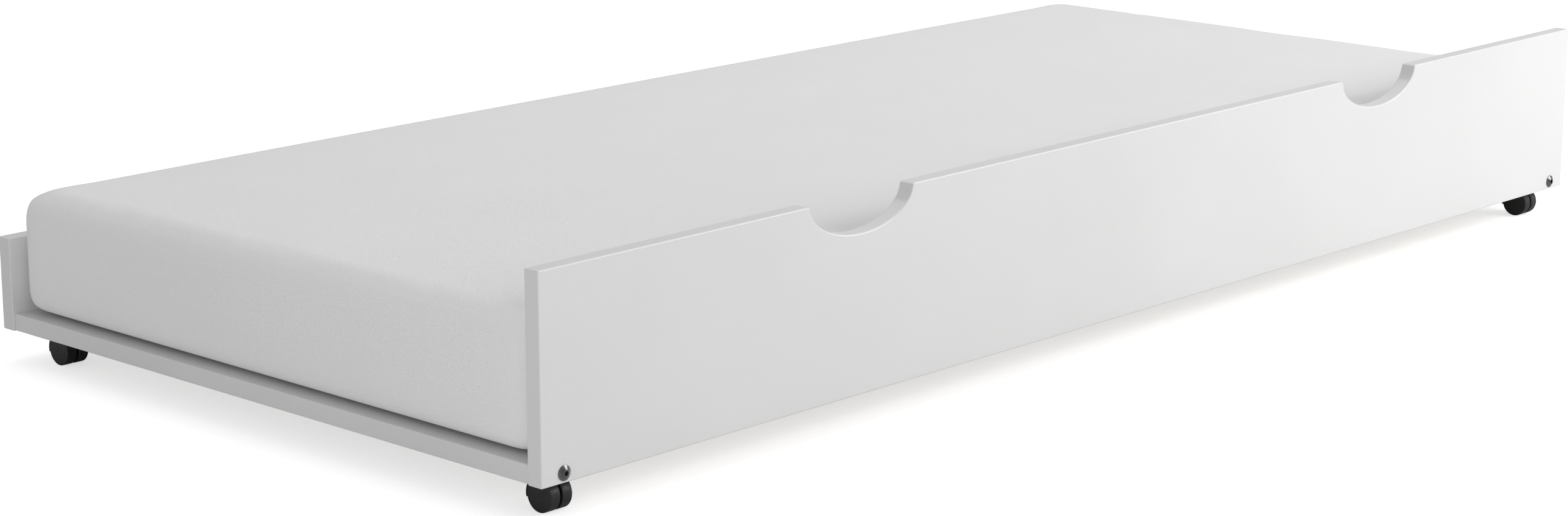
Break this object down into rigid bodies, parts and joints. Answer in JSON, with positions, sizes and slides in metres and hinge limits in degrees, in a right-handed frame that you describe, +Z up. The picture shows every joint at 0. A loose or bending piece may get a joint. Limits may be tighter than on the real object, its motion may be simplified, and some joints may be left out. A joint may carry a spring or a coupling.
{
  "type": "trundle bed",
  "caption": "Low pull-out bed on swivel casters: white panels with hand grips in the tall front one, flat end rails, slats and a mattress.",
  "frame": {"origin": "middle of the footprint, on the floor", "axes": "+Z up, X along the bed, the tall front panel with the hand grips faces -Y"},
  "size_m": [2, 0.9548, 0.268],
  "materials": {
    "white_lacquer_panel": "white satin lacquer on board",
    "white_lacquer_rail": "white satin lacquer on wood",
    "bare_pine": "planed, unfinished",
    "zinc_screw": "zinc plated",
    "black_steel": "black coated",
    "bright_steel": "turned",
    "beech_dowel": "fluted, unfinished",
    "foam": "open-cell foam",
    "mattress_fabric": "fine woven white ticking",
    "black_wheel": "matt moulded",
    "black_housing": "matt moulded",
    "socket_plastic": "matt moulded",
    "caster_steel": "zinc plated"
  },
  "bodies": {
    "bed_frame": {"back_cleat": "bare_pine", "back_left_socket": "socket_plastic", "back_panel": "white_lacquer_panel", "back_right_socket": "socket_plastic", "barrel_nuts": "bright_steel", "bolts": "black_steel", "cleat_screws": "zinc_screw", "dowels": "beech_dowel", "front_cleat": "bare_pine", "front_left_socket": "socket_plastic", "front_panel": "white_lacquer_panel", "front_right_socket": "socket_plastic", "left_end_rail": "white_lacquer_rail", "right_end_rail": "white_lacquer_rail", "slat_01": "bare_pine", "slat_02": "bare_pine", "slat_03": "bare_pine", "slat_04": "bare_pine", "slat_05": "bare_pine", "slat_06": "bare_pine", "slat_07": "bare_pine", "slat_08": "bare_pine", "slat_09": "bare_pine", "slat_10": "bare_pine", "slat_11": "bare_pine", "slat_12": "bare_pine", "slat_13": "bare_pine", "slat_screws": "zinc_screw"},
    "mattress": {"mattress_core": "foam", "mattress_cover": "mattress_fabric"},
    "front_left_caster": {"front_left_stem": "caster_steel", "front_left_housing": "black_housing", "front_left_axle": "caster_steel"},
    "front_left_outer_wheel": {"front_left_outer_wheel": "black_wheel"},
    "front_left_inner_wheel": {"front_left_inner_wheel": "black_wheel"},
    "front_right_caster": {"front_right_stem": "caster_steel", "front_right_housing": "black_housing", "front_right_axle": "caster_steel"},
    "front_right_outer_wheel": {"front_right_outer_wheel": "black_wheel"},
    "front_right_inner_wheel": {"front_right_inner_wheel": "black_wheel"},
    "back_left_caster": {"back_left_stem": "caster_steel", "back_left_housing": "black_housing", "back_left_axle": "caster_steel"},
    "back_left_outer_wheel": {"back_left_outer_wheel": "black_wheel"},
    "back_left_inner_wheel": {"back_left_inner_wheel": "black_wheel"},
    "back_right_caster": {"back_right_stem": "caster_steel", "back_right_housing": "black_housing", "back_right_axle": "caster_steel"},
    "back_right_outer_wheel": {"back_right_outer_wheel": "black_wheel"},
    "back_right_inner_wheel": {"back_right_inner_wheel": "black_wheel"}
  },
  "joints": [
    {"name": "mattress_lift", "type": "slide", "parent": "bed_frame", "child": "mattress", "axis": [0, 0, 1], "range_m": [0, 0.25]},
    {"name": "front_left_swivel", "type": "hinge", "parent": "bed_frame", "child": "front_left_caster", "pos_m": [-0.9535, -0.422, 0.0392], "axis": [0, 0, 1], "continuous": true},
    {"name": "front_left_outer_wheel_spin", "type": "hinge", "parent": "front_left_caster", "child": "front_left_outer_wheel", "pos_m": [-0.96185, -0.436, 0.0185], "axis": [1, 0, 0], "continuous": true},
    {"name": "front_left_inner_wheel_spin", "type": "hinge", "parent": "front_left_caster", "child": "front_left_inner_wheel", "pos_m": [-0.94515, -0.436, 0.0185], "axis": [1, 0, 0], "continuous": true},
    {"name": "front_right_swivel", "type": "hinge", "parent": "bed_frame", "child": "front_right_caster", "pos_m": [0.9535, -0.422, 0.0392], "axis": [0, 0, 1], "continuous": true},
    {"name": "front_right_outer_wheel_spin", "type": "hinge", "parent": "front_right_caster", "child": "front_right_outer_wheel", "pos_m": [0.96185, -0.436, 0.0185], "axis": [1, 0, 0], "continuous": true},
    {"name": "front_right_inner_wheel_spin", "type": "hinge", "parent": "front_right_caster", "child": "front_right_inner_wheel", "pos_m": [0.94515, -0.436, 0.0185], "axis": [1, 0, 0], "continuous": true},
    {"name": "back_left_swivel", "type": "hinge", "parent": "bed_frame", "child": "back_left_caster", "pos_m": [-0.9535, 0.422, 0.0392], "axis": [0, 0, 1], "continuous": true},
    {"name": "back_left_outer_wheel_spin", "type": "hinge", "parent": "back_left_caster", "child": "back_left_outer_wheel", "pos_m": [-0.96185, 0.408, 0.0185], "axis": [1, 0, 0], "continuous": true},
    {"name": "back_left_inner_wheel_spin", "type": "hinge", "parent": "back_left_caster", "child": "back_left_inner_wheel", "pos_m": [-0.94515, 0.408, 0.0185], "axis": [1, 0, 0], "continuous": true},
    {"name": "back_right_swivel", "type": "hinge", "parent": "bed_frame", "child": "back_right_caster", "pos_m": [0.9535, 0.422, 0.0392], "axis": [0, 0, 1], "continuous": true},
    {"name": "back_right_outer_wheel_spin", "type": "hinge", "parent": "back_right_caster", "child": "back_right_outer_wheel", "pos_m": [0.96185, 0.408, 0.0185], "axis": [1, 0, 0], "continuous": true},
    {"name": "back_right_inner_wheel_spin", "type": "hinge", "parent": "back_right_caster", "child": "back_right_inner_wheel", "pos_m": [0.94515, 0.408, 0.0185], "axis": [1, 0, 0], "continuous": true}
  ]
}
